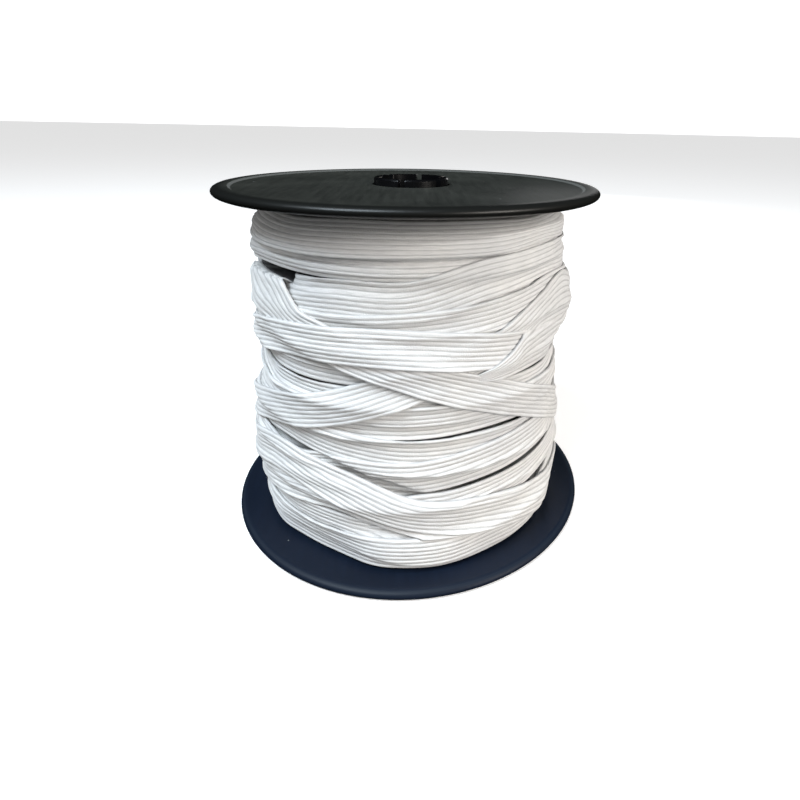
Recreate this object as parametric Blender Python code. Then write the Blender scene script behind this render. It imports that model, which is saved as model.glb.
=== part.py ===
"""A roll of flat ribbed elastic on a plastic spool that stands on one flange.

Four pieces: two moulded flange discs, the barrel that clips into both, and the wound elastic. The wound
elastic is one solid, whose outer face carries the relief of its last turns and of where they cross.
Lengths are in metres. Angles run round the spool from its front, -Y, towards +X, in degrees.
"""

import math

import bmesh
import bpy
import numpy as np

MM = 0.001
SEAT_GAP = 0.3 * MM

# Flange discs, the same moulding at both ends, with the outer face turned away from the winding.
FLANGE_RADIUS = 59.0 * MM
DISC_THICKNESS = 2.0 * MM
RIM_CREST = 2.6 * MM
RIM_LIP = 0.2 * MM
RIM_ROUND_RADIUS = 56.9 * MM
CREST_INNER_RADIUS = 54.6 * MM
DISC_EDGE_RADIUS = 53.6 * MM
HOLE_RADIUS = 10.9 * MM
RECESS_RADIUS = 12.3 * MM
RECESS_FLOOR = 1.1 * MM
RIM_ROUND_POINTS = 6
FLANGE_SIDES = 64

# The spool's height, crest to crest, and the faces that this leaves between the flanges.
SPOOL_HEIGHT = 106.0 * MM
LOWER_FACE = RIM_CREST
UPPER_FACE = SPOOL_HEIGHT - RIM_CREST
WOUND_LOW = LOWER_FACE + SEAT_GAP
WOUND_HIGH = UPPER_FACE - SEAT_GAP

# Barrel, with end walls and a clip neck at each end that catches in the flange's recess.
BARREL_RADIUS = 16.0 * MM
BARREL_WALL = 1.8 * MM
END_WALL = 2.0 * MM
BORE_RADIUS = 9.4 * MM
NECK_RADIUS = 10.5 * MM
CLIP_RADIUS = 11.8 * MM
CLIP_CHAMFER = 0.5 * MM
CORE_SIDES = 48
SLOT_WIDTH = 3.0 * MM
SLOT_PAIRS = 3

# Elastic tape and the way it lies: each lane of a turn is drawn taut over what is under it.
TAPE_WIDTH = 10.0
TAPE_THICKNESS = 1.0
MEAN_RADIUS = 50.0
PRESSED_ABOVE = 51.5
PRESSED_SHARE = 0.5
CRACK_ROWS = 2
LANES = 13
LANE_STEP = 3.0
RUN_ON = 40.0
PULLS = 140
PULL_ALONG = 0.8
MAP_ANGLES = 180
MAP_HEIGHTS = 144
FILL = 4
WOUND_COLUMNS = 96
WOUND_ROWS = 48
WOUND_BORE_RADIUS = BARREL_RADIUS + SEAT_GAP

# Radius of the buried turns at a few heights, in millimetres.
BURIED_TURNS = (
    # height, radius
    (0.0, 46.4),
    (12.0, 46.6),
    (24.0, 47.8),
    (40.0, 47.4),
    (60.0, 47.0),
    (75.0, 47.2),
    (88.0, 46.6),
    (97.0, 45.2),
    (106.0, 45.2),
)

# Where the buried turns swell or sink: place, reach each way, and amount in millimetres.
SWELLS = (
    # angle, height, reach in degrees, reach in millimetres, amount
    (-2.0, 4.0, 20.0, 9.0, 2.2),
    (-42.0, 3.0, 16.0, 8.0, -1.0),
    (-76.0, 26.0, 20.0, 9.0, 0.6),
    (76.0, 21.0, 20.0, 8.0, 1.2),
    (74.0, 72.0, 14.0, 8.0, 2.0),
    (-49.0, 84.9, 9.0, 2.0, -4.0),
)

# The first turns lie side by side, from one flange to the other.
FIRST_TURNS = (8.0, 17.9, 27.8, 37.7, 47.6, 57.5, 67.4, 77.3, 92.4, 98.0)

# The last turns, in the order in which they were wound: the height of the tape's middle at each angle.
TURN_ANGLES = (-75.0, -50.0, -25.0, 0.0, 25.0, 50.0, 75.0, 180.0)
LAST_TURNS = (
    # name, then one height in millimetres for each of the angles above
    ("high", 91.0, 91.9, 90.8, 90.8, 91.5, 92.0, 92.0, 92.0),
    ("highest", 98.0, 98.0, 97.7, 97.5, 97.4, 97.8, 97.5, 91.0),
    ("rising upper", 76.5, 77.3, 80.9, 82.0, 85.6, 87.8, 86.5, 82.0),
    ("rising lower", 74.0, 72.5, 72.0, 73.3, 76.3, 80.0, 79.5, 70.0),
    ("level upper", 63.5, 63.3, 62.7, 62.0, 61.5, 61.5, 61.0, 58.0),
    ("level lower", 54.0, 53.6, 52.8, 51.9, 52.3, 52.0, 50.5, 50.0),
    ("middle", 47.0, 47.8, 48.1, 48.0, 48.3, 47.5, 46.0, 42.0),
    ("below the gap", 38.5, 40.6, 40.0, 38.3, 38.0, 37.5, 37.0, 38.0),
    ("sagging", 31.0, 31.5, 31.3, 30.3, 33.0, 33.3, 32.0, 29.0),
    ("low right", 20.0, 19.0, 18.0, 18.5, 22.0, 22.3, 21.0, 20.0),
    ("lowest upper", 14.0, 13.0, 13.0, 9.5, 9.0, 10.0, 11.0, 12.0),
    ("lowest", 9.5, 8.2, 8.0, 8.0, 8.0, 8.0, 8.5, 8.0),
    ("falling lower", 17.0, 21.5, 23.5, 17.3, 14.5, 13.5, 14.0, 19.0),
    ("falling upper", 25.0, 29.0, 27.3, 18.9, 16.0, 11.3, 8.5, 20.0),
    ("cross upward", 38.0, 44.5, 50.5, 58.5, 66.5, 73.8, 73.0, 82.0),
    ("cross downward", 75.5, 78.3, 70.5, 61.6, 53.4, 44.0, 34.0, 46.0),
    ("belt", 61.5, 67.0, 68.9, 68.7, 66.3, 63.5, 64.0, 67.0),
)


def clear_scene():
    for left_over in list(bpy.data.objects):
        bpy.data.objects.remove(left_over, do_unlink=True)


def make_material(name, colour, roughness):
    material = bpy.data.materials.new(name)
    material.use_nodes = True
    shader = material.node_tree.nodes["Principled BSDF"]
    shader.inputs["Base Color"].default_value = (*colour, 1.0)
    shader.inputs["Roughness"].default_value = roughness
    shader.inputs["Metallic"].default_value = 0.0
    return material


def add_object(name, mesh, material):
    mesh.materials.append(material)
    piece = bpy.data.objects.new(name, mesh)
    bpy.context.scene.collection.objects.link(piece)
    return piece


def turned_mesh(name, outline, sides):
    """One closed ring: the outline, as pairs of radius and height, turned round the spool's axis."""
    shape = bmesh.new()
    corners = [shape.verts.new((radius, 0.0, height)) for radius, height in outline]
    edges = [shape.edges.new((start, end)) for start, end in zip(corners, corners[1:] + corners[:1])]
    bmesh.ops.spin(
        shape,
        geom=corners + edges,
        cent=(0.0, 0.0, 0.0),
        axis=(0.0, 0.0, 1.0),
        angle=math.tau,
        steps=sides,
        use_merge=True,
        use_duplicate=False,
    )
    bmesh.ops.recalc_face_normals(shape, faces=shape.faces)
    mesh = bpy.data.meshes.new(name)
    shape.to_mesh(mesh)
    shape.free()
    mesh.shade_smooth()
    mesh.set_sharp_from_angle(angle=math.radians(35.0))
    return mesh


def flange_outline(face, outwards):
    """Section of a disc whose inner face is at this height and whose outer face looks up or down."""
    middle = (RIM_CREST - RIM_LIP) / 2
    half = (RIM_CREST + RIM_LIP) / 2
    reach = FLANGE_RADIUS - RIM_ROUND_RADIUS
    rim = []
    for point in range(RIM_ROUND_POINTS + 1):
        turn = math.pi * (point / RIM_ROUND_POINTS - 0.5)
        rim.append((RIM_ROUND_RADIUS + reach * math.cos(turn), middle + half * math.sin(turn)))
    section = [(HOLE_RADIUS, 0.0), (RIM_ROUND_RADIUS - RIM_LIP * 2, 0.0)]
    section += rim
    section += [
        (CREST_INNER_RADIUS, RIM_CREST),
        (DISC_EDGE_RADIUS, DISC_THICKNESS),
        (RECESS_RADIUS, DISC_THICKNESS),
        (RECESS_RADIUS, RECESS_FLOOR),
        (HOLE_RADIUS, RECESS_FLOOR),
    ]
    return [(radius, face + outwards * depth) for radius, depth in section]


def core_outline():
    """Section of the barrel: its lower end, and the same mirrored for the upper one."""
    clip_end = LOWER_FACE - DISC_THICKNESS - SEAT_GAP
    clip_back = LOWER_FACE - RECESS_FLOOR - SEAT_GAP
    outer = [
        (BORE_RADIUS, clip_end),
        (CLIP_RADIUS - CLIP_CHAMFER, clip_end),
        (CLIP_RADIUS, clip_end + CLIP_CHAMFER),
        (CLIP_RADIUS, clip_back),
        (NECK_RADIUS, clip_back),
        (NECK_RADIUS, WOUND_LOW),
        (BARREL_RADIUS, WOUND_LOW),
    ]
    inner = [
        (BARREL_RADIUS - BARREL_WALL, WOUND_LOW + END_WALL),
        (BORE_RADIUS, WOUND_LOW + END_WALL),
    ]
    upper_outer = [(radius, SPOOL_HEIGHT - height) for radius, height in reversed(outer)]
    upper_inner = [(radius, SPOOL_HEIGHT - height) for radius, height in reversed(inner)]
    return outer + upper_outer + upper_inner + inner


def cut_slots(core):
    """Slots that split each clip neck into springy tabs."""
    depth = WOUND_LOW
    for end, middle in (("lower", depth / 2), ("upper", SPOOL_HEIGHT - depth / 2)):
        for pair in range(SLOT_PAIRS):
            bpy.ops.mesh.primitive_cube_add(size=1.0, location=(0.0, 0.0, middle))
            cutter = bpy.context.object
            cutter.name = f"slot_{end}_{pair}"
            cutter.scale = (CLIP_RADIUS * 3, SLOT_WIDTH, depth)
            cutter.rotation_euler = (0.0, 0.0, math.pi * (pair + 0.25) / SLOT_PAIRS)
            cutter.hide_render = True
            cutter.display_type = "WIRE"
            slot = core.modifiers.new(cutter.name, "BOOLEAN")
            slot.operation = "DIFFERENCE"
            slot.solver = "EXACT"
            slot.object = cutter


def curve_through(knots, heights, angles):
    """A smooth curve through the knots, read at each of the angles."""
    width = np.diff(knots)
    slope = np.diff(heights) / width
    lean = np.empty_like(heights)
    lean[1:-1] = (slope[:-1] * width[1:] + slope[1:] * width[:-1]) / (width[1:] + width[:-1])
    lean[0], lean[-1] = slope[0], slope[-1]
    piece = np.clip(np.searchsorted(knots, angles, side="right") - 1, 0, len(width) - 1)
    along = (angles - knots[piece]) / width[piece]
    return (
        (2 * along**3 - 3 * along**2 + 1) * heights[piece]
        + (along**3 - 2 * along**2 + along) * lean[piece] * width[piece]
        + (3 * along**2 - 2 * along**3) * heights[piece + 1]
        + (along**3 - along**2) * lean[piece + 1] * width[piece]
    )


def buried_surface():
    """The map of radius by angle and height, in millimetres, before the last turns are laid."""
    angles = np.arange(MAP_ANGLES) * 360.0 / MAP_ANGLES
    heights = np.linspace(WOUND_LOW, WOUND_HIGH, MAP_HEIGHTS) / MM
    place, radius = np.array(BURIED_TURNS).T
    surface = np.tile(np.interp(heights, place, radius), (MAP_ANGLES, 1))
    for angle, height, reach_round, reach_up, amount in SWELLS:
        away = (angles - angle + 180.0) % 360.0 - 180.0
        round_share = np.exp(-((away / reach_round) ** 4))[:, None]
        up_share = np.exp(-(((heights - height) / reach_up) ** 2))
        surface += amount * round_share * up_share
    return surface


def map_place(angles, heights):
    """Angles and heights as fractional columns and rows of the map."""
    column = (angles % 360.0) * MAP_ANGLES / 360.0
    low, high = WOUND_LOW / MM, WOUND_HIGH / MM
    row = np.clip((heights - low) / (high - low) * (MAP_HEIGHTS - 1), 0.0, MAP_HEIGHTS - 1.001)
    return column, row


def read_map(surface, angles, heights):
    column, row = map_place(angles, heights)
    left = np.floor(column).astype(int)
    below = np.floor(row).astype(int)
    to_right, up = column - left, row - below
    left %= MAP_ANGLES
    right = (left + 1) % MAP_ANGLES
    lower = surface[left, below] * (1 - to_right) + surface[right, below] * to_right
    upper = surface[left, below + 1] * (1 - to_right) + surface[right, below + 1] * to_right
    return lower * (1 - up) + upper * up


def draw_taut(floor, held):
    """Pulls every lane straight between the places that hold it up, while its neighbours drag on it."""
    radius = floor.copy()
    chord = 2 * math.cos(math.radians(LANE_STEP))
    for _ in range(PULLS):
        straight = radius.copy()
        straight[1:-1] = chord / (1 / radius[:-2] + 1 / radius[2:])
        level = radius.copy()
        level[:, 1:-1] = (radius[:, :-2] + radius[:, 2:]) / 2
        level[:, 0], level[:, -1] = radius[:, 1], radius[:, -2]
        radius = np.maximum(floor, PULL_ALONG * straight + (1 - PULL_ALONG) * level)
        if held is not None:
            radius[0] = np.maximum(held, floor[0])
    return radius


def fill_in(values):
    """The same table of values with FILL times as many steps both ways."""
    for axis in (0, 1):
        count = values.shape[axis]
        finer = np.linspace(0, count - 1, (count - 1) * FILL + 1)
        first = np.minimum(finer.astype(int), count - 2)
        share = finer - first
        share = share[:, None] if axis == 0 else share[None, :]
        start = np.take(values, first, axis)
        end = np.take(values, first + 1, axis)
        values = start * (1 - share) + end * share
    return values


def lay_half_turn(surface, knots, heights, start, held):
    """Lays the tape over half a turn, raises the map there, and returns the radius where it ends."""
    kept = int(180 / LANE_STEP) + 1
    angles = start + np.arange(kept + int(RUN_ON / LANE_STEP)) * LANE_STEP
    middle = curve_through(knots, heights, angles)
    millimetre_per_degree = math.radians(MEAN_RADIUS)
    lean = np.arctan2(np.gradient(middle, angles), millimetre_per_degree)[:, None]
    across = np.linspace(-TAPE_WIDTH / 2, TAPE_WIDTH / 2, LANES)
    lane_angles = angles[:, None] - across * np.sin(lean) / millimetre_per_degree
    lane_heights = middle[:, None] + across * np.cos(lean)
    radius = draw_taut(read_map(surface, lane_angles, lane_heights), held)[:kept]
    column, row = map_place(fill_in(lane_angles[:kept]), fill_in(lane_heights[:kept]))
    cells = np.rint(column).astype(int) % MAP_ANGLES, np.rint(row).astype(int)
    np.maximum.at(surface, cells, fill_in(radius) + TAPE_THICKNESS)
    return radius[-1]


def slide_over(surface, pick):
    """The highest or the lowest of the rows within CRACK_ROWS of each row, which closes narrow cracks."""
    upright = np.pad(surface, ((0, 0), (CRACK_ROWS, CRACK_ROWS)), mode="edge")
    picked = surface
    for shift in range(2 * CRACK_ROWS + 1):
        picked = pick(picked, upright[:, shift : shift + MAP_HEIGHTS])
    return picked


def wound_surface():
    """The map of radius after every turn is laid, each over the ones before it."""
    turns = [(height,) * len(TURN_ANGLES) for height in FIRST_TURNS]
    turns += [row[1:] for row in LAST_TURNS]
    knots = np.concatenate([np.array(TURN_ANGLES) + 360.0 * count for count in range(len(turns))])
    heights = np.concatenate([np.array(row) for row in turns])
    surface = buried_surface()
    held = None
    for count in range(len(turns)):
        for start in (-90.0, 90.0):
            held = lay_half_turn(surface, knots, heights, 360.0 * count + start, held)
    pressed = PRESSED_ABOVE + (surface - PRESSED_ABOVE) * PRESSED_SHARE
    surface = np.where(surface > PRESSED_ABOVE, pressed, surface)
    surface = slide_over(slide_over(surface, np.maximum), np.minimum)
    upright = np.pad(surface, ((0, 0), (1, 1)), mode="edge")
    surface = (upright[:, :-2] + 2 * surface + upright[:, 2:]) / 4
    surface = (np.roll(surface, 1, axis=0) + 2 * surface + np.roll(surface, -1, axis=0)) / 4
    return surface


def winding_mesh():
    """A ring with a plain bore and flat ends, and the wound surface outside."""
    surface = wound_surface()
    angles = np.arange(WOUND_COLUMNS) * 360.0 / WOUND_COLUMNS
    heights = np.linspace(WOUND_LOW, WOUND_HIGH, WOUND_ROWS)
    radius = read_map(surface, angles[:, None], heights[None, :] / MM) * MM
    shape = bmesh.new()
    columns = []
    for angle, ring in zip(np.radians(angles), radius):
        side, front = math.sin(angle), -math.cos(angle)
        outline = [(WOUND_BORE_RADIUS, WOUND_LOW), *zip(ring, heights), (WOUND_BORE_RADIUS, WOUND_HIGH)]
        columns.append([shape.verts.new((reach * side, reach * front, height)) for reach, height in outline])
    for left, right in zip(columns, columns[1:] + columns[:1]):
        for row in range(len(left)):
            following = (row + 1) % len(left)
            shape.faces.new((left[row], right[row], right[following], left[following]))
    bmesh.ops.recalc_face_normals(shape, faces=shape.faces)
    mesh = bpy.data.meshes.new("winding")
    shape.to_mesh(mesh)
    shape.free()
    mesh.shade_smooth()
    mesh.set_sharp_from_angle(angle=math.radians(50.0))
    return mesh


def build():
    clear_scene()
    disc_black = make_material("disc black", (0.030, 0.034, 0.034), 0.45)
    clip_black = make_material("clip black", (0.010, 0.010, 0.011), 0.20)
    elastic_white = make_material("elastic white", (0.80, 0.80, 0.79), 0.85)
    spool = bpy.data.objects.new("spool", None)
    bpy.context.scene.collection.objects.link(spool)
    lower = turned_mesh("flange_bottom", flange_outline(LOWER_FACE, -1), FLANGE_SIDES)
    upper = turned_mesh("flange_top", flange_outline(UPPER_FACE, 1), FLANGE_SIDES)
    pieces = [
        add_object("flange_bottom", lower, disc_black),
        add_object("flange_top", upper, disc_black),
        add_object("core", turned_mesh("core", core_outline(), CORE_SIDES), clip_black),
        add_object("winding", winding_mesh(), elastic_white),
    ]
    cut_slots(pieces[2])
    for piece in pieces:
        piece.parent = spool


build()
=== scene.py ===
"""A roll of flat ribbed elastic on a black plastic spool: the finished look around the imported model.

Sizes are in millimetres, turned into metres by MM. Angles run round the spool from its front, -Y, towards
+X, in degrees, and heights go up from what the spool stands on.
"""

import math
import bmesh
import bpy
import numpy as np
from mathutils import Matrix, Vector


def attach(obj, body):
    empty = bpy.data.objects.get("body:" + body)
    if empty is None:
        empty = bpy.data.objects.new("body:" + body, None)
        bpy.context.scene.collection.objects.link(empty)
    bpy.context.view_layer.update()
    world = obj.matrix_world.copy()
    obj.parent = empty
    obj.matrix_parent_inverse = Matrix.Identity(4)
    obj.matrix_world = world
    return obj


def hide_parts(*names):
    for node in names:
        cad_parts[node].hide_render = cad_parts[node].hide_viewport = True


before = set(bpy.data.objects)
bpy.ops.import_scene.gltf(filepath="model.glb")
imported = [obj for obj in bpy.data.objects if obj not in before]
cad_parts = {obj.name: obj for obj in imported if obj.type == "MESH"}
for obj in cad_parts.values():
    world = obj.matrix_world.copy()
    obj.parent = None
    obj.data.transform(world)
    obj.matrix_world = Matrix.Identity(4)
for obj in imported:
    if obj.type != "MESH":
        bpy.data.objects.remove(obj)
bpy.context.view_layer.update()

# Camera: a close hand-held view from in front and a little above, with the spool to the left of the lens's
# axis and below it, which the shift gives.
MM = 0.001
FRAME_SIDE = 800.0
FOCAL_PIXELS = 551.0
AXIS_PIXEL = (462.6, 279.9)
SENSOR_WIDTH = 36.0
CAMERA_PLACE = (0.0, -178.8 * MM, 123.2 * MM)
CAMERA_PITCH = 15.49
CAMERA_ROLL = 1.22
CAMERA_YAW = 5.47

lens = bpy.data.cameras.new("camera")
lens.sensor_width = SENSOR_WIDTH
lens.lens = SENSOR_WIDTH * FOCAL_PIXELS / FRAME_SIDE
lens.shift_x = (FRAME_SIDE / 2 - AXIS_PIXEL[0]) / FRAME_SIDE
lens.shift_y = (AXIS_PIXEL[1] - FRAME_SIDE / 2) / FRAME_SIDE
lens.clip_start = 0.01
camera = bpy.data.objects.new("camera", lens)
bpy.context.scene.collection.objects.link(camera)
camera.matrix_world = (
    Matrix.Translation(CAMERA_PLACE)
    @ Matrix.Rotation(math.radians(-CAMERA_YAW), 4, "Z")
    @ Matrix.Rotation(math.radians(90.0 - CAMERA_PITCH), 4, "X")
    @ Matrix.Rotation(math.radians(CAMERA_ROLL), 4, "Z")
)
bpy.context.scene.camera = camera
bpy.context.scene.view_settings.view_transform = "Standard"

# Studio: a white floor before a white dome, which only show, while the light comes from a dimmer sky, from a
# warm soft lamp at the front right and from a cool one at the left. None of it but the lamps is reflected,
# so that the black plastic stays black at a low angle.
FLOOR_REACH = 60.0
DOME_RADIUS = 28.0
BACKDROP_COLOUR = (0.90, 0.90, 0.90)
BACKDROP_ROUGHNESS = 0.9
FLOOR_GLOW = 0.35
DOME_GLOW = 1.0
SKY_STRENGTH = 0.50
GROUND_STRENGTH = 0.30
HORIZON_LOW = -0.2
HORIZON_HIGH = 0.3
SOFT_LIGHTS = (
    # name, place, aim height, width, power, colour
    ("key", (0.62, -0.55, 0.36), 0.05, 0.45, 6.0, (1.0, 0.94, 0.87)),
    ("window", (-0.40, -0.34, 0.90), 0.05, 0.55, 12.0, (0.80, 0.91, 1.0)),
    ("back", (0.33, 0.90, 0.19), 0.10, 0.30, 0.25, (1.0, 1.0, 1.0)),
)


def plain_material(name, colour, roughness):
    material = bpy.data.materials.new(name)
    material.use_nodes = True
    shader = material.node_tree.nodes["Principled BSDF"]
    shader.inputs["Base Color"].default_value = (*colour, 1.0)
    shader.inputs["Roughness"].default_value = roughness
    return material


def add_backdrop(piece, name, glow):
    """Names the piece just added, whitens it, and lets it show without lighting the spool."""
    piece.name = name
    material = plain_material(f"white {name}", BACKDROP_COLOUR, BACKDROP_ROUGHNESS)
    shader = material.node_tree.nodes["Principled BSDF"]
    shader.inputs["Emission Color"].default_value = (1.0, 1.0, 1.0, 1.0)
    shader.inputs["Emission Strength"].default_value = glow
    piece.data.materials.append(material)
    piece.visible_diffuse = piece.visible_glossy = piece.visible_shadow = False


bpy.ops.mesh.primitive_plane_add(size=FLOOR_REACH)
add_backdrop(bpy.context.object, "floor", FLOOR_GLOW)
bpy.ops.mesh.primitive_uv_sphere_add(radius=DOME_RADIUS, segments=48, ring_count=24)
add_backdrop(bpy.context.object, "dome", DOME_GLOW)

sky = bpy.data.worlds.new("sky")
sky.use_nodes = True
sky_nodes, sky_links = sky.node_tree.nodes, sky.node_tree.links
direction = sky_nodes.new("ShaderNodeTexCoord")
direction_parts = sky_nodes.new("ShaderNodeSeparateXYZ")
sky_links.new(direction.outputs["Generated"], direction_parts.inputs["Vector"])
brightness = sky_nodes.new("ShaderNodeMapRange")
brightness.inputs["From Min"].default_value = HORIZON_LOW
brightness.inputs["From Max"].default_value = HORIZON_HIGH
brightness.inputs["To Min"].default_value = GROUND_STRENGTH
brightness.inputs["To Max"].default_value = SKY_STRENGTH
sky_links.new(direction_parts.outputs["Z"], brightness.inputs["Value"])
sky_nodes["Background"].inputs["Color"].default_value = (1.0, 1.0, 1.0, 1.0)
sky_links.new(brightness.outputs["Result"], sky_nodes["Background"].inputs["Strength"])
sky.cycles_visibility.glossy = False
bpy.context.scene.world = sky

for light_name, place, aim, width, power, colour in SOFT_LIGHTS:
    light = bpy.data.lights.new(light_name, "AREA")
    light.shape = "DISK"
    light.size = width
    light.energy = power
    light.color = colour
    lamp = bpy.data.objects.new(light_name, light)
    bpy.context.scene.collection.objects.link(lamp)
    lamp.location = place
    towards = Vector((0.0, 0.0, aim)) - lamp.location
    lamp.rotation_euler = towards.to_track_quat("-Z", "Y").to_euler()

# Discs: two alike, moulded in one piece each from black plastic, with a rounded rim that stands proud of the
# outer face, and a recess round the hole where the barrel's clips catch.
DISC_RADIUS = 59.0
DISC_FACE = 2.0
RIM_CREST = 2.6
RIM_LIP = 0.2
RIM_ROUND_RADIUS = 56.9
CREST_INNER_RADIUS = 54.6
FACE_EDGE_RADIUS = 53.6
HOLE_RADIUS = 10.9
RECESS_RADIUS = 12.3
RECESS_FLOOR = 1.1
RIM_ROUND_POINTS = 14
PAINTED_HIGHLIGHT_WIDTH = 0.8
DUST_COLOUR = (0.30, 0.31, 0.31)
WELD_DISTANCE = 0.002
SMOOTH_ANGLE = math.radians(32.0)
DISC_STEPS = 180
SPOOL_HEIGHT = 106.0


def deselect_all():
    if bpy.context.object and bpy.context.object.mode != "OBJECT":
        bpy.ops.object.mode_set(mode="OBJECT")
    bpy.ops.object.select_all(action="DESELECT")


def turn_outline(name, outline, steps):
    """Draws a closed outline, given as radius and height in millimetres, and turns it round the axis."""
    deselect_all()
    corners = [Vector((radius * MM, 0.0, height * MM)) for radius, height in outline]
    bpy.ops.mesh.primitive_plane_add(size=MM, location=corners[0])
    piece = bpy.context.object
    piece.name = piece.data.name = name
    bpy.ops.object.transform_apply(location=True)
    bpy.ops.object.mode_set(mode="EDIT")
    bpy.ops.mesh.merge(type="CENTER")
    for start, end in zip(corners, corners[1:] + corners[:1]):
        bpy.ops.mesh.extrude_vertices_move(TRANSFORM_OT_translate={"value": end - start})
    bpy.ops.mesh.select_all(action="SELECT")
    bpy.ops.mesh.remove_doubles(threshold=WELD_DISTANCE * MM)
    bpy.ops.mesh.spin(steps=steps, angle=math.tau, center=(0.0, 0.0, 0.0), axis=(0.0, 0.0, 1.0))
    bpy.ops.mesh.select_all(action="SELECT")
    bpy.ops.mesh.remove_doubles(threshold=WELD_DISTANCE * MM)
    bpy.ops.mesh.normals_make_consistent(inside=False)
    bpy.ops.object.mode_set(mode="OBJECT")
    bpy.ops.object.shade_smooth_by_angle(angle=SMOOTH_ANGLE)
    return piece


def disc_outline(face, outwards):
    """Section of a disc from its inner face, with the outer face looking up or down."""
    middle = (RIM_CREST - RIM_LIP) / 2
    half = (RIM_CREST + RIM_LIP) / 2
    reach = DISC_RADIUS - RIM_ROUND_RADIUS
    section = [(HOLE_RADIUS, 0.0), (RIM_ROUND_RADIUS - RIM_LIP * 2, 0.0)]
    for point in range(RIM_ROUND_POINTS + 1):
        turn = math.pi * (point / RIM_ROUND_POINTS - 0.5)
        section.append((RIM_ROUND_RADIUS + reach * math.cos(turn), middle + half * math.sin(turn)))
    section += [
        (CREST_INNER_RADIUS, RIM_CREST),
        (FACE_EDGE_RADIUS, DISC_FACE),
        (RECESS_RADIUS, DISC_FACE),
        (RECESS_RADIUS, RECESS_FLOOR),
        (HOLE_RADIUS, RECESS_FLOOR),
    ]
    return [(radius, face + outwards * depth) for radius, depth in section]


def new_material(name, colour, roughness):
    """A material with its own shader, and the tools to add nodes to it."""
    material = plain_material(name, colour, roughness)
    tree = material.node_tree
    return material, tree.nodes, tree.links, tree.nodes["Principled BSDF"]


def add_noise(nodes, links, place, scale, detail=2.0):
    noise = nodes.new("ShaderNodeTexNoise")
    noise.inputs["Scale"].default_value = scale
    noise.inputs["Detail"].default_value = detail
    links.new(place, noise.inputs["Vector"])
    return noise.outputs["Fac"]


def add_ramp(nodes, links, value, *stops):
    """Colour by value, between two stops given as position and colour."""
    ramp = nodes.new("ShaderNodeValToRGB")
    for element, (position, colour) in zip(ramp.color_ramp.elements, stops):
        element.position = position
        element.color = (*colour, 1.0)
    links.new(value, ramp.inputs["Fac"])
    return ramp.outputs["Color"]


def mix_over(nodes, links, share, under, colour):
    """Mixes a plain colour over the one underneath."""
    mix = nodes.new("ShaderNodeMix")
    mix.data_type = "RGBA"
    mix.inputs["B"].default_value = (*colour, 1.0)
    links.new(share, mix.inputs["Factor"])
    links.new(under, mix.inputs["A"])
    return mix.outputs["Result"]


def distance_off_axis(nodes, links, place):
    flat = nodes.new("ShaderNodeVectorMath")
    flat.operation = "MULTIPLY"
    flat.inputs[1].default_value = (1.0, 1.0, 0.0)
    links.new(place, flat.inputs[0])
    off_axis = nodes.new("ShaderNodeVectorMath")
    off_axis.operation = "LENGTH"
    links.new(flat.outputs["Vector"], off_axis.inputs[0])
    return off_axis.outputs["Value"]


def add_bump(nodes, links, shader, height, strength, distance):
    """Roughens the surface by the height, at a distance in millimetres."""
    bump = nodes.new("ShaderNodeBump")
    bump.inputs["Strength"].default_value = strength
    bump.inputs["Distance"].default_value = distance * MM
    links.new(height, bump.inputs["Height"])
    links.new(bump.outputs["Normal"], shader.inputs["Normal"])


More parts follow.
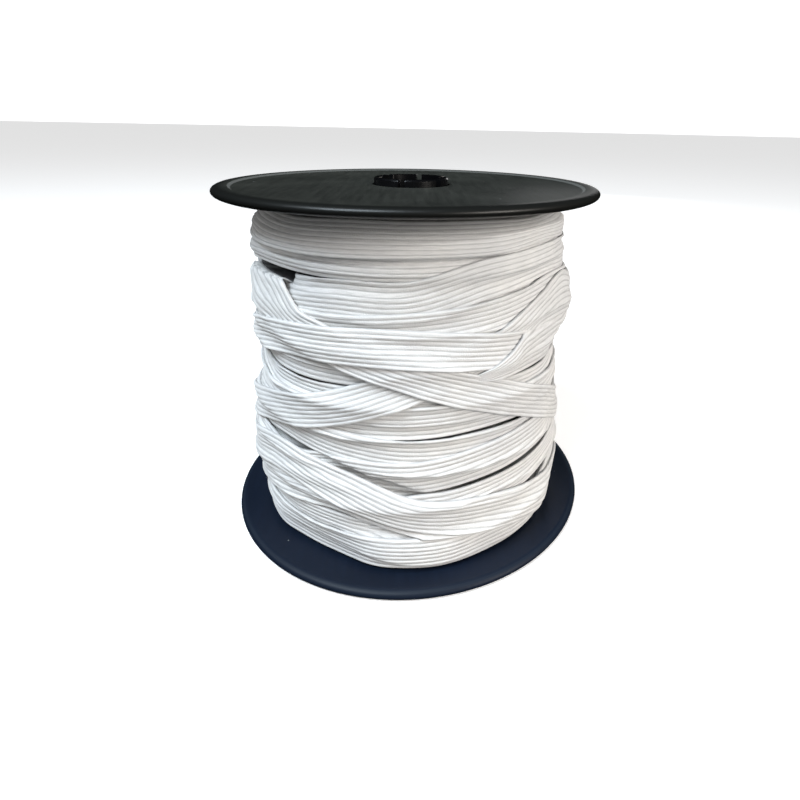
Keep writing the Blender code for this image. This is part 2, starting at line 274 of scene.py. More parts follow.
def disc_material(name, colour, worn_colour, rim_colour, rim_gloss, shine, highlight_radius, highlight_colour):
    """Matt moulded plastic with drawn streaks, marks and a little dust, a smoother rim in its own colour,
    darker on the upper disc as painted shade, and a thin ring of painted highlight.
    """
    material, nodes, links, shader = new_material(name, colour, 0.5)
    shader.inputs["Specular IOR Level"].default_value = shine
    place = nodes.new("ShaderNodeTexCoord").outputs["Object"]
    stretch = nodes.new("ShaderNodeMapping")
    stretch.inputs["Rotation"].default_value = (0.0, 0.0, math.radians(8.0))
    stretch.inputs["Scale"].default_value = (900.0, 60.0, 300.0)
    links.new(place, stretch.inputs["Vector"])
    streaks = add_noise(nodes, links, stretch.outputs["Vector"], 1.0, 4.0)
    clouds = add_noise(nodes, links, place, 45.0, 5.0)
    marks = nodes.new("ShaderNodeMix")
    marks.inputs["Factor"].default_value = 0.5
    links.new(streaks, marks.inputs["A"])
    links.new(clouds, marks.inputs["B"])
    tone = add_ramp(nodes, links, marks.outputs["Result"], (0.38, colour), (0.68, worn_colour))
    dust = nodes.new("ShaderNodeTexVoronoi")
    dust.inputs["Scale"].default_value = 130.0
    links.new(place, dust.inputs["Vector"])
    speck = nodes.new("ShaderNodeMath")
    speck.operation = "LESS_THAN"
    speck.inputs[1].default_value = 0.028
    links.new(dust.outputs["Distance"], speck.inputs[0])
    dusty = mix_over(nodes, links, speck.outputs["Value"], tone, DUST_COLOUR)
    off_axis = distance_off_axis(nodes, links, place)
    # Towards the rim the colour goes over to the rim's colour; on the upper disc that is darker than the
    # face, painted shade on the rim.
    on_rim = nodes.new("ShaderNodeMapRange")
    on_rim.inputs["From Min"].default_value = (FACE_EDGE_RADIUS + 1.2) * MM
    on_rim.inputs["From Max"].default_value = (RIM_ROUND_RADIUS + 0.4) * MM
    links.new(off_axis, on_rim.inputs["Value"])
    rimmed = mix_over(nodes, links, on_rim.outputs["Result"], dusty, rim_colour)
    # A thin ring of lighter colour at one radius: a painted highlight where the rim's slope would catch the
    # light.
    on_highlight = nodes.new("ShaderNodeMath")
    on_highlight.operation = "COMPARE"
    on_highlight.inputs[1].default_value = highlight_radius * MM
    on_highlight.inputs[2].default_value = PAINTED_HIGHLIGHT_WIDTH / 2 * MM
    links.new(off_axis, on_highlight.inputs[0])
    highlighted = mix_over(nodes, links, on_highlight.outputs["Value"], rimmed, highlight_colour)
    links.new(highlighted, shader.inputs["Base Color"])
    gloss = nodes.new("ShaderNodeMapRange")
    gloss.inputs["To Min"].default_value = 0.40
    gloss.inputs["To Max"].default_value = 0.62
    links.new(marks.outputs["Result"], gloss.inputs["Value"])
    smoother = nodes.new("ShaderNodeMix")
    smoother.inputs["B"].default_value = rim_gloss
    links.new(on_rim.outputs["Result"], smoother.inputs["Factor"])
    links.new(gloss.outputs["Result"], smoother.inputs["A"])
    links.new(smoother.outputs["Result"], shader.inputs["Roughness"])
    add_bump(nodes, links, shader, add_noise(nodes, links, place, 1600.0), 0.35, 0.03)
    return material


# Each look is the plastic's colour, its colour where worn, the rim's colour, the rim's roughness and the
# shine, and then the radius of the painted highlight ring and its colour.
LOWER_DISC_LOOK = (
    ((0.004, 0.008, 0.019), (0.007, 0.013, 0.028), (0.006, 0.011, 0.023), 0.50, 0.20),
    (58.1, (0.010, 0.016, 0.028)),
)
# The upper disc's rim colour, darker than its face, is painted shade on the rim.
UPPER_DISC_LOOK = (
    ((0.014, 0.0155, 0.0135), (0.029, 0.031, 0.027), (0.007, 0.0075, 0.007), 0.36, 0.28),
    ((FACE_EDGE_RADIUS + CREST_INNER_RADIUS) / 2, (0.090, 0.093, 0.088)),
)
DISCS = (
    # node, inner face, which way its outer face looks, look
    ("flange_bottom", RIM_CREST, -1, LOWER_DISC_LOOK),
    ("flange_top", SPOOL_HEIGHT - RIM_CREST, 1, UPPER_DISC_LOOK),
)
for node, face, outwards, (plastic_look, highlight_look) in DISCS:
    disc = turn_outline(f"{node}_disc", disc_outline(face, outwards), DISC_STEPS)
    disc.data.materials.append(disc_material(f"{node} plastic", *plastic_look, *highlight_look))
    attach(disc, "root")
    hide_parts(node)

# Barrel: a black plastic tube between the discs. At each end a neck goes through the disc's hole, and its
# springy tabs snap out over the recess and hold the disc on.
BARREL_RADIUS = 16.0
BARREL_WALL = 1.8
END_WALL = 2.0
BORE_RADIUS = 9.4
NECK_RADIUS = 10.5
CLIP_RADIUS = 11.8
CLIP_CHAMFER = 0.5
SEAT_GAP = 0.3
WOUND_LOW = RIM_CREST + SEAT_GAP
WOUND_HIGH = SPOOL_HEIGHT - WOUND_LOW
BARREL_STEPS = 96
SLOT_WIDTH = 2.0
SLOT_PAIRS = 3
FIRST_SLOT = 0.25
TAB_RISE = 1.9
EDGE_ROUNDING = 0.15


def barrel_outline():
    """Section of the barrel: its lower end, and the same mirrored for the upper one."""
    clip_end = RIM_CREST - DISC_FACE - SEAT_GAP
    clip_back = RIM_CREST - RECESS_FLOOR - SEAT_GAP
    outer = [
        (BORE_RADIUS, clip_end),
        (CLIP_RADIUS - CLIP_CHAMFER, clip_end),
        (CLIP_RADIUS, clip_end + CLIP_CHAMFER),
        (CLIP_RADIUS, clip_back),
        (NECK_RADIUS, clip_back),
        (NECK_RADIUS, WOUND_LOW),
        (BARREL_RADIUS, WOUND_LOW),
    ]
    inner = [
        (BARREL_RADIUS - BARREL_WALL, WOUND_LOW + END_WALL),
        (BORE_RADIUS, WOUND_LOW + END_WALL),
    ]
    tabs = [(radius, height - TAB_RISE) for radius, height in outer[:3]] + outer[3:]
    upper_outer = [(radius, SPOOL_HEIGHT - height) for radius, height in reversed(tabs)]
    upper_inner = [(radius, SPOOL_HEIGHT - height) for radius, height in reversed(inner)]
    return outer + upper_outer + upper_inner + inner


def cut_with(piece, cutter):
    """Takes the cutter's shape out of the piece, and the cutter out of the scene."""
    deselect_all()
    bpy.context.view_layer.objects.active = piece
    cut = piece.modifiers.new("cut", "BOOLEAN")
    cut.operation = "DIFFERENCE"
    cut.solver = "EXACT"
    cut.object = cutter
    bpy.ops.object.modifier_apply(modifier=cut.name)
    bpy.data.objects.remove(cutter, do_unlink=True)


def clip_material():
    """Glossy moulded plastic with fine scuffs."""
    material, nodes, links, shader = new_material("clip plastic", (0.003, 0.003, 0.0035), 0.22)
    shader.inputs["Specular IOR Level"].default_value = 0.22
    scuffs = add_noise(nodes, links, nodes.new("ShaderNodeTexCoord").outputs["Object"], 700.0, 4.0)
    gloss = nodes.new("ShaderNodeMapRange")
    gloss.inputs["To Min"].default_value = 0.12
    gloss.inputs["To Max"].default_value = 0.34
    links.new(scuffs, gloss.inputs["Value"])
    links.new(gloss.outputs["Result"], shader.inputs["Roughness"])
    add_bump(nodes, links, shader, scuffs, 0.25, 0.05)
    return material


barrel = turn_outline("barrel", barrel_outline(), BARREL_STEPS)
for end_middle in (WOUND_LOW / 2, SPOOL_HEIGHT - WOUND_LOW / 2):
    for pair in range(SLOT_PAIRS):
        deselect_all()
        bpy.ops.mesh.primitive_cube_add(size=MM, location=(0.0, 0.0, end_middle * MM))
        cutter = bpy.context.object
        cutter.scale = (CLIP_RADIUS * 3, SLOT_WIDTH, WOUND_LOW + TAB_RISE * 2)
        cutter.rotation_euler = (0.0, 0.0, math.pi * (pair + FIRST_SLOT) / SLOT_PAIRS)
        cut_with(barrel, cutter)
deselect_all()
bpy.context.view_layer.objects.active = barrel
edges = barrel.modifiers.new("edges", "BEVEL")
edges.width = EDGE_ROUNDING * MM
edges.segments = 2
edges.limit_method = "ANGLE"
edges.angle_limit = math.radians(40.0)
bpy.ops.object.modifier_apply(modifier=edges.name)
barrel.select_set(True)
bpy.ops.object.shade_smooth_by_angle(angle=SMOOTH_ANGLE)
barrel.data.materials.append(clip_material())
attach(barrel, "root")
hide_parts("core")

# Elastic: one long flat tape, braided from white cords side by side, wound on the barrel by machine. The
# first turns lie level, side by side; the last ones cross them, and each is drawn taut over what it covers.
TAPE_WIDTH = 10.0
TAPE_THICKNESS = 1.0
CORDS = 8
CORD_DEPTH = 0.27
STITCH_LENGTH = 0.62
MEAN_RADIUS = 50.0
PRESSED_ABOVE = 51.5
PRESSED_SHARE = 0.5
DEEPEST = 24.0
CURL = 0.8
CURLED_TURNS = ("cross downward",)
LANES = 17
LANE_STEP = 2.0
RUN_ON = 40.0
PULLS = 180
PULL_ALONG = 0.8
MAP_ANGLES = 360
MAP_HEIGHTS = 251
FILL = 4

# Radius of the buried turns at a few heights.
BURIED_TURNS = (
    # height, radius
    (0.0, 46.4),
    (12.0, 46.6),
    (24.0, 47.8),
    (40.0, 47.4),
    (60.0, 47.0),
    (75.0, 47.2),
    (88.0, 47.0),
    (93.0, 45.8),
    (97.0, 43.6),
    (106.0, 42.2),
)

# Where the buried turns swell or sink: place, reach each way, and amount.
SWELLS = (
    # angle, height, reach in degrees, reach in millimetres, amount
    (0.0, 4.0, 20.0, 9.0, 2.2),
    (-34.0, 3.0, 18.0, 8.0, -0.5),
    (-60.0, 5.0, 13.0, 7.0, 1.2),
    (-74.0, 28.0, 16.0, 6.0, 1.7),
    (-72.0, 54.0, 18.0, 7.0, -1.8),
    (-72.0, 87.5, 12.0, 3.0, 0.8),
    (-74.0, 93.0, 14.0, 2.5, -0.8),
    (44.0, 3.0, 14.0, 8.0, 1.0),
    (69.0, 8.0, 13.0, 8.0, -2.2),
    (-76.0, 98.5, 18.0, 3.0, 0.9),
    (76.0, 38.0, 20.0, 8.0, -1.6),
    (76.0, 54.0, 20.0, 7.0, -1.7),
    (74.0, 90.5, 18.0, 3.4, -1.6),
    (-52.0, 84.8, 14.0, 3.3, -16.0),
    (-76.0, 77.0, 14.0, 5.0, -0.9),
    (76.0, 85.0, 18.0, 2.6, 1.2),
    (76.0, 98.5, 20.0, 3.0, 1.0),
)

# The height of the tape's middle at each angle, turn by turn, in the order in which the turns were wound.
TURN_ANGLES = (-75.0, -50.0, -25.0, 0.0, 25.0, 50.0, 75.0, 180.0)
FIRST_TURNS = (8.0, 17.9, 27.8, 37.7, 47.6, 57.5, 67.4, 77.3, 92.4, 96.6)
LEVEL_TURNS = (
    # name, then one height for each of the angles above
    ("high", 90.9, 91.0, 91.0, 91.0, 91.8, 92.5, 92.6, 92.0),
    ("highest", 97.0, 96.8, 96.3, 95.9, 95.9, 96.4, 96.6, 91.0),
    ("rising upper", 76.9, 79.4, 80.8, 80.7, 85.4, 87.8, 86.8, 82.0),
    ("rising lower", 74.4, 72.9, 72.4, 73.7, 75.3, 77.7, 76.6, 70.0),
    ("level upper", 64.0, 64.0, 63.6, 62.7, 62.1, 62.1, 61.6, 58.0),
    ("level lower", 54.0, 53.6, 53.0, 52.3, 52.2, 51.9, 52.0, 50.0),
    ("middle", 47.7, 48.4, 48.5, 48.3, 48.9, 48.8, 47.4, 42.0),
    ("below the gap", 39.2, 41.0, 40.0, 38.0, 37.9, 37.8, 37.6, 38.0),
    ("sagging", 31.9, 32.4, 32.2, 31.8, 34.4, 36.2, 35.8, 30.0),
)
CROSSING_TURNS = (
    # name, then one height for each of the angles above
    ("low right", 21.0, 20.0, 19.2, 20.3, 22.7, 24.2, 24.8, 20.0),
    ("lowest upper", 15.0, 13.9, 13.9, 10.0, 9.4, 10.6, 11.7, 12.0),
    ("lowest", 10.0, 8.6, 8.3, 8.3, 8.3, 8.3, 8.9, 8.0),
    ("falling lower", 18.1, 22.5, 24.6, 19.9, 16.5, 14.3, 12.4, 19.0),
    ("falling upper", 26.4, 30.7, 28.3, 20.8, 17.1, 12.0, 8.9, 20.0),
    ("cross upward", 38.8, 45.3, 51.2, 59.1, 65.9, 74.3, 75.0, 72.0),
    ("cross downward", 96.0, 83.3, 69.6, 62.1, 54.0, 44.8, 34.9, 46.0),
    ("belt", 62.1, 67.5, 69.4, 69.2, 66.8, 64.0, 64.5, 67.0),
)

# At the back the last turn goes down under a crossing one and ends, at this angle and height.
LAST_TURN_END = (245.0, 55.0)

# The turn that leads in comes up from this far underneath, and the end of every turn is eased over this many
# stations into the start of the next one.
LEAD_IN_DEPTH = 0.4
EASED_STATIONS = 15

# Where one turn alone swerves up or down between those angles, or spreads.
SWERVES = (
    # turn, angle, reach in degrees, shift of its lower edge, shift of its upper edge
    ("cross downward", -62.0, 18.0, -11.0, 0.0),
    ("cross downward", -39.0, 7.0, -1.8, -2.8),
    ("cross downward", -28.0, 14.0, -0.5, -0.7),
    ("sagging", 40.0, 26.0, -1.3, 0.0),
    ("sagging", 68.0, 9.0, 2.8, 0.0),
    ("low right", 50.0, 25.0, 0.0, -1.1),
    ("low right", 70.0, 10.0, 0.0, 0.6),
    ("low right", 2.0, 9.0, 0.0, 0.9),
    ("low right", 52.0, 9.0, 0.4, 0.0),
    ("falling lower", 52.0, 12.0, 0.0, -2.3),
    ("falling upper", 38.0, 28.0, 0.0, 1.3),
    ("falling lower", 0.0, 12.0, -1.2, 0.0),
    ("middle", -25.0, 14.0, -0.5, 0.0),
    ("middle", 44.0, 12.0, -0.5, 0.0),
    ("below the gap", 16.0, 28.0, 0.0, 0.5),
    ("cross upward", 56.0, 8.0, -1.6, 0.0),
    ("level lower", 60.0, 22.0, 0.0, -0.4),
    ("level lower", -38.0, 22.0, 0.0, -1.0),
    ("level upper", -38.0, 22.0, -1.3, 0.0),
    ("highest", 5.0, 30.0, 1.4, 0.0),
    ("highest", 48.0, 18.0, 2.4, -1.5),
    ("highest", -45.0, 18.0, 0.0, -1.5),
    ("rising lower", 64.0, 16.0, 0.0, 1.2),
    ("rising upper", 16.0, 17.0, 0.5, 1.6),
    ("rising upper", -14.0, 16.0, 0.0, 0.6),
    ("high", -76.0, 10.0, -1.2, 0.0),
    ("sagging", -46.0, 15.0, 0.0, -3.2),
    ("below the gap", -45.0, 14.0, 0.9, 0.0),
    ("cross upward", 62.0, 10.0, 0.0, 3.0),
    ("cross upward", 78.0, 12.0, -2.6, -0.6),
)

# Where one turn alone stands off the roll, or dives under the turns beside it. All that lies under the last
# turns dives where a dark crack shows between them.
TUCKS = (
    # turn, angle, height, its rise per degree, reach in degrees, reach in millimetres, amount
    ("under", 15.0, 42.2, 0.01, 46.0, 2.2, -6.0),
    ("under", 38.0, 27.9, 0.08, 31.0, 2.8, -6.5),
    ("under", -44.0, 35.0, -0.03, 18.0, 2.2, -8.0),
    ("under", 52.0, 17.8, -0.10, 12.0, 2.0, -7.0),
    ("under", -36.0, 57.0, 0.0, 18.0, 1.8, -7.0),
    ("under", 46.0, 55.8, 0.0, 18.0, 2.3, -8.0),
    ("level upper", 44.0, 57.3, 0.0, 16.0, 1.4, -6.0),
    ("rising upper", -67.0, 86.0, 0.0, 20.0, 5.8, -14.0),
    ("high", 0.0, 91.5, 0.02, 46.0, 0.9, -4.0),
    ("cross downward", -90.0, 97.0, 0.0, 62.0, 10.4, -60.0),
    ("cross downward", -88.0, 85.5, 0.0, 20.0, 3.4, -1.2),
    ("cross upward", 76.0, 72.0, 0.0, 16.0, 8.5, 1.9),
    ("cross upward", 78.0, 68.0, 0.0, 18.0, 3.8, 1.3),
    ("low right", 76.0, 24.0, 0.0, 14.0, 6.0, 0.5),
    ("sagging", -15.0, 29.6, -0.29, 17.0, 2.8, -2.4),
    ("under", -15.0, 29.6, -0.29, 17.0, 2.8, -2.4),
    ("lowest upper", 0.0, 15.5, 0.0, 16.0, 2.6, -2.2),
    ("belt", 66.0, 66.0, 0.0, 27.0, 14.0, -3.0),
    ("belt", 232.0, 53.0, 0.15, 30.0, 5.6, -4.5),
    ("cross upward", 245.0, 96.0, 0.045, 44.0, 6.6, -4.0),
    ("twist", 52.0, 73.5, -0.07, 32.0, 5.0, -3.5),
    ("twist", 75.0, 60.5, 0.0, 14.0, 3.6, -3.2),
    ("twist", 76.0, 66.0, 0.0, 14.0, 2.6, 1.3),
    ("twist", 222.0, 51.5, 0.14, 30.0, 5.7, -4.5),
)

# The tape that comes up out of a crack at the front, twisting as it comes, lies over the belt and goes off
# to the right.
TWIST = (
    # angle, height of its lower edge, height of its upper edge, how far it is sunk
    (14.0, 59.6, 60.0, 2.4),
    (18.0, 59.1, 60.7, 1.4),
    (22.0, 58.8, 62.0, 0.6),
    (27.5, 58.4, 64.0, 0.2),
    (32.5, 58.1, 66.4, 0.0),
    (36.5, 57.9, 69.0, 0.0),
    (42.0, 57.8, 70.2, 0.0),
    (50.0, 57.8, 70.6, 0.0),
    (60.0, 58.2, 70.4, 0.0),
    (75.0, 59.8, 70.4, 0.0),
    (105.0, 61.0, 71.0, 0.0),
    (150.0, 60.0, 70.0, 0.0),
    (190.0, 55.5, 65.5, 0.0),
    (230.0, 47.7, 57.3, 0.0),
)


def curve_through(knots, heights, angles):
    """A smooth curve through the knots, read at each of the angles."""
    width = np.diff(knots)
    slope = np.diff(heights) / width
    lean = np.empty_like(heights)
    lean[1:-1] = (slope[:-1] * width[1:] + slope[1:] * width[:-1]) / (width[1:] + width[:-1])
    lean[0], lean[-1] = slope[0], slope[-1]
    piece = np.clip(np.searchsorted(knots, angles, side="right") - 1, 0, len(width) - 1)
    along = (angles - knots[piece]) / width[piece]
    return (
        (2 * along**3 - 3 * along**2 + 1) * heights[piece]
        + (along**3 - 2 * along**2 + along) * lean[piece] * width[piece]
        + (3 * along**2 - 2 * along**3) * heights[piece + 1]
        + (along**3 - along**2) * lean[piece + 1] * width[piece]
    )


def near(angles, heights, angle, height, rise, reach_round, reach_up):
    """1 at the place and along its rise, falling to 0 beyond its reach."""
    away = (angles - angle + 180.0) % 360.0 - 180.0
    return np.exp(-((away / reach_round) ** 4) - ((heights - height - rise * away) / reach_up) ** 8)


def tucked(name, lane_angles, lane_heights):
    """How far the named turn stands off the roll, or below its surface, along its lanes."""
    amount = 0.0
    for turn, angle, height, rise, reach_round, reach_up, most in TUCKS:
        if turn == name:
            share = near(lane_angles, lane_heights, angle, height, rise, reach_round, reach_up)
            amount = amount + most * share
    return amount


def buried_surface():
    """The map of radius by angle and height before the last turns are laid."""
    angles = (np.arange(MAP_ANGLES) * 360.0 / MAP_ANGLES)[:, None]
    heights = np.linspace(WOUND_LOW, WOUND_HIGH, MAP_HEIGHTS)[None, :]
    place, radius = np.array(BURIED_TURNS).T
    surface = np.tile(np.interp(heights[0], place, radius), (MAP_ANGLES, 1))
    for angle, height, reach_round, reach_up, amount in SWELLS:
        surface += amount * near(angles, heights, angle, height, 0.0, reach_round, reach_up)
    return surface


def map_place(angles, heights):
    """Angles and heights as fractional columns and rows of the map."""
    column = (angles % 360.0) * MAP_ANGLES / 360.0
    row = (heights - WOUND_LOW) / (WOUND_HIGH - WOUND_LOW) * (MAP_HEIGHTS - 1)
    return column, np.clip(row, 0.0, MAP_HEIGHTS - 1.001)


def read_map(surface, angles, heights):
    column, row = map_place(angles, heights)
    left = np.floor(column).astype(int)
    below = np.floor(row).astype(int)
    to_right, up = column - left, row - below
    left %= MAP_ANGLES
    right = (left + 1) % MAP_ANGLES
    lower = surface[left, below] * (1 - to_right) + surface[right, below] * to_right
    upper = surface[left, below + 1] * (1 - to_right) + surface[right, below + 1] * to_right
    return lower * (1 - up) + upper * up


def draw_taut(floor, held):
    """Pulls every lane straight between the places that hold it up, while its neighbours drag on it."""
    radius = floor.copy()
    chord = 2 * math.cos(math.radians(LANE_STEP))
    for _ in range(PULLS):
        straight = radius.copy()
        straight[1:-1] = chord / (1 / radius[:-2] + 1 / radius[2:])
        level = radius.copy()
        level[:, 1:-1] = (radius[:, :-2] + radius[:, 2:]) / 2
        level[:, 0], level[:, -1] = radius[:, 1], radius[:, -2]
        radius = np.maximum(floor, PULL_ALONG * straight + (1 - PULL_ALONG) * level)
        if held is not None:
            radius[0] = np.maximum(held, floor[0])
    return radius


def fill_in(values):
    """The same table of values with FILL times as many steps both ways."""
    for axis in (0, 1):
        count = values.shape[axis]
        finer = np.linspace(0, count - 1, (count - 1) * FILL + 1)
        first = np.minimum(finer.astype(int), count - 2)
        share = finer - first
        share = share[:, None] if axis == 0 else share[None, :]
        values = np.take(values, first, axis) * (1 - share) + np.take(values, first + 1, axis) * share
    return values


def lay_half_turn(surface, knots, heights, name, start, held):
    """Lays the tape over half a turn and raises the map. Gives its lanes, and the radius where it ends."""
    kept = int(180 / LANE_STEP) + 1
    angles = start + np.arange(kept + int(RUN_ON / LANE_STEP)) * LANE_STEP
    middle = curve_through(knots, heights, angles)
    millimetre_per_degree = math.radians(MEAN_RADIUS)
    lean = np.arctan2(np.gradient(middle, angles), millimetre_per_degree)[:, None]
    across = np.linspace(-TAPE_WIDTH / 2, TAPE_WIDTH / 2, LANES)
    lane_angles = angles[:, None] - across * np.sin(lean) / millimetre_per_degree
    lane_heights = middle[:, None] + across * np.cos(lean)
    for swerving, angle, reach, lower, upper in SWERVES:
        if swerving == name:
            shift = np.linspace(lower, upper, LANES)
            away = (angles[:, None] - angle + 180.0) % 360.0 - 180.0
            lane_heights = lane_heights + shift * np.exp(-((away / reach) ** 2))
    radius = draw_taut(read_map(surface, lane_angles, lane_heights), held)[:kept]
    held = radius[-1]
    lane_angles, lane_heights = lane_angles[:kept], lane_heights[:kept]
    dived = np.maximum(radius + tucked(name, lane_angles, lane_heights), DEEPEST)
    if name in CURLED_TURNS:
        lane_heights = lane_heights - CURL * np.maximum(radius - dived, 0.0)
    radius = dived
    column, row = map_place(fill_in(lane_angles[1:-1]), fill_in(lane_heights[1:-1]))
    cells = np.rint(column).astype(int) % MAP_ANGLES, np.rint(row).astype(int)
    np.maximum.at(surface, cells, fill_in(radius[1:-1]) + TAPE_THICKNESS)
    if name.startswith("first"):
        radius = radius + tucked("under", lane_angles, lane_heights)
    return (lane_angles, lane_heights, radius), held


def lay_twist(surface):
    """Lanes of the twisted tape, which spread out from where it leaves the crack."""
    knots, lower, upper, sunk = np.array(TWIST).T
    angles = np.arange(knots[0], knots[-1] + LANE_STEP, LANE_STEP)
    low_edge, high_edge, sink = (curve_through(knots, row, angles)[:, None] for row in (lower, upper, sunk))
    lane_heights = low_edge + (high_edge - low_edge) * np.linspace(0.0, 1.0, LANES)
    lane_angles = np.broadcast_to(angles[:, None], lane_heights.shape)
    radius = draw_taut(read_map(surface, lane_angles, lane_heights), None) - sink
    return [lane_angles, lane_heights, radius + tucked("twist", lane_angles, lane_heights)]


def ease_into(lanes, following):
    """Brings the end of one turn over, little by little, to where the next one starts."""
    share = (1.0 - np.cos(np.linspace(0.0, math.pi, EASED_STATIONS))[:, None]) / 2
    for part, next_part in zip(lanes, following):
        part[-EASED_STATIONS:] += share * (next_part[0] - part[-1])


def wind_tape():
    """Lays every turn over the ones before it, and gives each turn's lanes by name."""
    turns = [(f"first {count}", *(height,) * len(TURN_ANGLES)) for count, height in enumerate(FIRST_TURNS)]
    turns += LEVEL_TURNS + CROSSING_TURNS
    knots = np.concatenate([np.array(TURN_ANGLES) + 360.0 * count for count in range(len(turns))])
    heights = np.concatenate([np.array(row[1:]) for row in turns])
    end_angle, end_height = LAST_TURN_END
    knots = np.append(knots, 360.0 * (len(turns) - 1) + end_angle)
    heights = np.append(heights, end_height)
    surface = buried_surface()
    lead_in, _ = lay_half_turn(surface.copy(), knots, heights, "lead-in", -270.0, None)
    laid = {"lead-in": [*lead_in[:2], lead_in[2] - LEAD_IN_DEPTH]}
    held = None
    for count, row in enumerate(turns):
        halves = []
        for start in (-90.0, 90.0):
            lanes, held = lay_half_turn(surface, knots, heights, row[0], 360.0 * count + start, held)
            halves.append(lanes)
        laid[row[0]] = [np.concatenate([halves[0][part][:-1], halves[1][part]]) for part in range(3)]
    names = list(laid)
    for name, following in zip(names, names[1:]):
        ease_into(laid[name], laid[following])
    stations = int((end_angle + 90.0) / LANE_STEP) + 1
    laid[names[-1]] = [part[:stations] for part in laid[names[-1]]]
    laid["twist"] = lay_twist(surface)
    return laid


def pressed(radius):
    """Where the tape piles up, its turns press into each other."""
    return np.where(radius > PRESSED_ABOVE, PRESSED_ABOVE + (radius - PRESSED_ABOVE) * PRESSED_SHARE, radius)


CORD_FACES = 4
UNDER_FACES = 16
TOP_EDGE = 0.55
UNDER_EDGE = 0.35
UNDER_GROOVE = 0.5


def tape_section():
    """Place across the tape, from 0 to 1, and height over its underside, once round its section."""
    top = np.linspace(0.0, 1.0, CORDS * CORD_FACES + 1)
    in_cord = (top * CORDS) % 1.0
    crown = np.sqrt(np.clip(1.0 - (2.0 * in_cord - 1.0) ** 2, 0.0, 1.0))
    crown = np.where(in_cord == 0.0, 0.0, crown)
    top_height = TAPE_THICKNESS - CORD_DEPTH * (1.0 - crown)
    top_height[[0, -1]] = TAPE_THICKNESS * TOP_EDGE
    under = np.linspace(1.0, 0.0, UNDER_FACES + 1)
    in_cord = (under * CORDS) % 1.0
    under_height = np.where(in_cord == 0.0, CORD_DEPTH * UNDER_GROOVE, 0.0)
    under_height[[0, -1]] = TAPE_THICKNESS * UNDER_EDGE
    return np.concatenate([top, under]), np.concatenate([top_height, under_height])


def tape_mesh(name, stretches, material, every=1):
    """One closed ribbon along the given stretches of lanes, end to end."""
    lanes = [
        np.concatenate([stretch[part][: None if last else -1] for stretch, last in stretches])
        for part in range(3)
    ]
    angles, heights, radius = (values[::every] for values in lanes)
    place, height_over = tape_section()
    share = place * (LANES - 1)
    first = np.minimum(share.astype(int), LANES - 2)
    share = share - first
    angles, heights, radius = (
        values[:, first] * (1 - share) + values[:, first + 1] * share for values in (angles, heights, radius)
    )
    radius = pressed(radius) + height_over
    turn = np.radians(angles)
    points = np.stack([radius * np.sin(turn), -radius * np.cos(turn), heights], axis=-1) * MM
    stations, around = points.shape[:2]
    middle = points.mean(axis=1)
    run = np.concatenate([[0.0], np.cumsum(np.linalg.norm(np.diff(middle, axis=0), axis=1))])
    station = np.arange(stations - 1)[:, None] * around
    next_station = station + around
    side = np.arange(around)[None, :]
    following = (side + 1) % around
    quads = np.stack(
        [station + side, next_station + side, next_station + following, station + following], axis=-1
    )
    ends = [list(range(around)), list(range((stations - 1) * around, stations * around))[::-1]]
    mesh = bpy.data.meshes.new(name)
    mesh.from_pydata(points.reshape(-1, 3).tolist(), [], quads.reshape(-1, 4).tolist() + ends)
    uv = mesh.uv_layers.new(name="tape")
    corner = np.empty(len(mesh.loops), int)
    mesh.loops.foreach_get("vertex_index", corner)
    along = run[corner // around]
    across = place[corner % around] * TAPE_WIDTH * MM
    uv.data.foreach_set("uv", np.stack([along, across], axis=-1).ravel().astype(np.float32))
    mesh.shade_smooth()
    mesh.materials.append(material)
    piece = bpy.data.objects.new(name, mesh)
    bpy.context.scene.collection.objects.link(piece)
    return piece


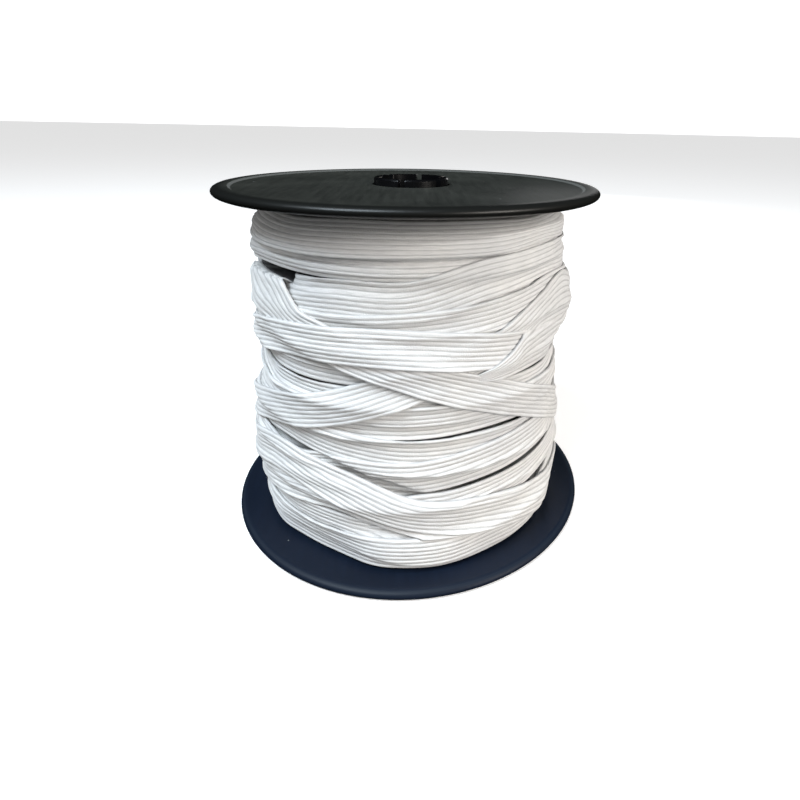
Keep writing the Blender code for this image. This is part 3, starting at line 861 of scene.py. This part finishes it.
def elastic_material():
    """White braided elastic: cords with painted shade in the grooves between them, painted shade where it
    lies deep in the roll, fine stitches and a soft nap.
    """
    material, nodes, links, shader = new_material("white elastic", (0.80, 0.80, 0.79), 0.85)
    shader.inputs["Sheen Weight"].default_value = 0.25
    shader.inputs["Sheen Roughness"].default_value = 0.5
    shader.inputs["Specular IOR Level"].default_value = 0.3
    place = nodes.new("ShaderNodeUVMap")
    place.uv_map = "tape"
    parts = nodes.new("ShaderNodeSeparateXYZ")
    links.new(place.outputs["UV"], parts.inputs["Vector"])

    def maths(operation, *values):
        node = nodes.new("ShaderNodeMath")
        node.operation = operation
        for socket, value in zip(node.inputs, values):
            if isinstance(value, float):
                socket.default_value = value
            else:
                links.new(value, socket)
        return node.outputs["Value"]

    cord = maths("FRACT", maths("MULTIPLY", parts.outputs["Y"], CORDS / (TAPE_WIDTH * MM)))
    off_middle = maths("ABSOLUTE", maths("SUBTRACT", cord, 0.5))
    stitch_phase = maths("MULTIPLY", parts.outputs["X"], 1.0 / (STITCH_LENGTH * MM))
    stitch_phase = maths("ADD", stitch_phase, maths("MULTIPLY", off_middle, 1.3))
    stitch = maths("SINE", maths("MULTIPLY", stitch_phase, math.tau))
    coordinate = nodes.new("ShaderNodeTexCoord").outputs["Object"]
    fuzz = add_noise(nodes, links, coordinate, 2400.0, 3.0)
    threads = nodes.new("ShaderNodeCombineXYZ")
    links.new(maths("MULTIPLY", parts.outputs["X"], 260.0), threads.inputs["X"])
    links.new(maths("MULTIPLY", parts.outputs["Y"], 3400.0), threads.inputs["Y"])
    streaks = add_noise(nodes, links, threads.outputs["Vector"], 1.0)
    height = maths("ADD", maths("MULTIPLY", stitch, 0.05), maths("MULTIPLY", fuzz, 1.2))
    height = maths("ADD", height, maths("MULTIPLY", streaks, 0.9))
    add_bump(nodes, links, shader, height, 0.8, 0.10)
    clouds = add_noise(nodes, links, coordinate, 38.0, 3.0)
    tone = add_ramp(nodes, links, clouds, (0.35, (0.72, 0.725, 0.73)), (0.65, (0.80, 0.795, 0.78)))
    # Darker towards the middle of each groove between cords: painted shade.
    painted_groove_shade = nodes.new("ShaderNodeMapRange")
    painted_groove_shade.interpolation_type = "SMOOTHSTEP"
    painted_groove_shade.inputs["From Min"].default_value = 0.27
    painted_groove_shade.inputs["From Max"].default_value = 0.50
    painted_groove_shade.inputs["To Max"].default_value = 0.62
    links.new(off_middle, painted_groove_shade.inputs["Value"])
    thread_tone = maths("SUBTRACT", 0.60, streaks)
    depth = maths("ADD", painted_groove_shade.outputs["Result"], thread_tone)
    # The grey mixed in here is painted groove shade, along with the streaks as the threads' own tone.
    shaded = mix_over(nodes, links, depth, tone, (0.38, 0.38, 0.385))
    # Darker the nearer the tape lies to the axis, deep in the cracks between turns: painted shade.
    painted_crack_shade = nodes.new("ShaderNodeMapRange")
    painted_crack_shade.interpolation_type = "SMOOTHSTEP"
    painted_crack_shade.inputs["From Min"].default_value = 43.0 * MM
    painted_crack_shade.inputs["From Max"].default_value = 47.4 * MM
    painted_crack_shade.inputs["To Min"].default_value = 0.13
    links.new(distance_off_axis(nodes, links, coordinate), painted_crack_shade.inputs["Value"])
    crack_shaded = nodes.new("ShaderNodeVectorMath")
    crack_shaded.operation = "SCALE"
    links.new(shaded, crack_shaded.inputs["Vector"])
    links.new(painted_crack_shade.outputs["Result"], crack_shaded.inputs["Scale"])
    links.new(crack_shaded.outputs["Vector"], shader.inputs["Base Color"])
    return material


elastic = elastic_material()
laid_turns = wind_tape()


def add_turns(piece_name, names, every=1):
    stretches = [(laid_turns[turn], turn == names[-1]) for turn in names]
    piece = tape_mesh(piece_name, stretches, elastic, every)
    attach(piece, "root")
    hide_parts("winding")
    return piece


add_turns("first_turns", ["lead-in"] + [f"first {count}" for count in range(len(FIRST_TURNS))], 2)
add_turns("level_turns", [row[0] for row in LEVEL_TURNS])
add_turns("crossing_turns", [row[0] for row in CROSSING_TURNS])
add_turns("twisted_turn", ["twist"])

# Buried elastic: the hundreds of turns underneath, which show only as shadowed edges in the gaps, painted
# dark as deep shade.
BURIED_COLUMNS = 180
BURIED_ROWS = 160
BURIED_DEPTH = 0.4


def buried_mesh():
    angles = np.arange(BURIED_COLUMNS) * 360.0 / BURIED_COLUMNS
    heights = np.linspace(WOUND_LOW, WOUND_HIGH, BURIED_ROWS)
    radius = read_map(buried_surface(), angles[:, None], heights[None, :]) - BURIED_DEPTH
    radius = radius + tucked("under", angles[:, None], heights[None, :])
    shape = bmesh.new()
    bore = BARREL_RADIUS + SEAT_GAP
    columns = []
    for angle, ring in zip(np.radians(angles), radius):
        side, front = math.sin(angle), -math.cos(angle)
        outline = [(bore, WOUND_LOW), *zip(ring, heights), (bore, WOUND_HIGH)]
        columns.append([shape.verts.new((r * side * MM, r * front * MM, z * MM)) for r, z in outline])
    for left, right in zip(columns, columns[1:] + columns[:1]):
        for row in range(len(left)):
            following = (row + 1) % len(left)
            shape.faces.new((left[row], right[row], right[following], left[following]))
    bmesh.ops.recalc_face_normals(shape, faces=shape.faces)
    mesh = bpy.data.meshes.new("buried_turns")
    shape.to_mesh(mesh)
    shape.free()
    mesh.shade_smooth()
    mesh.set_sharp_from_angle(angle=math.radians(50.0))
    return mesh


def buried_material():
    """The same white elastic painted dark as deep shade, with its cords as level ribs and its nap as a fine
    grain.
    """
    material, nodes, links, shader = new_material("buried elastic", (0.10, 0.10, 0.10), 0.9)
    place = nodes.new("ShaderNodeTexCoord").outputs["Object"]
    ribs = nodes.new("ShaderNodeTexWave")
    ribs.bands_direction = "Z"
    ribs.inputs["Scale"].default_value = 250.0
    ribs.inputs["Distortion"].default_value = 0.6
    links.new(place, ribs.inputs["Vector"])
    tone = add_ramp(nodes, links, ribs.outputs["Fac"], (0.0, (0.06, 0.06, 0.062)), (1.0, (0.15, 0.15, 0.15)))
    links.new(tone, shader.inputs["Base Color"])
    add_bump(nodes, links, shader, add_noise(nodes, links, place, 1500.0), 1.0, 0.2)
    return material


buried = bpy.data.objects.new("buried_turns", buried_mesh())
bpy.context.scene.collection.objects.link(buried)
buried.data.materials.append(buried_material())
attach(buried, "root")
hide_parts("winding")
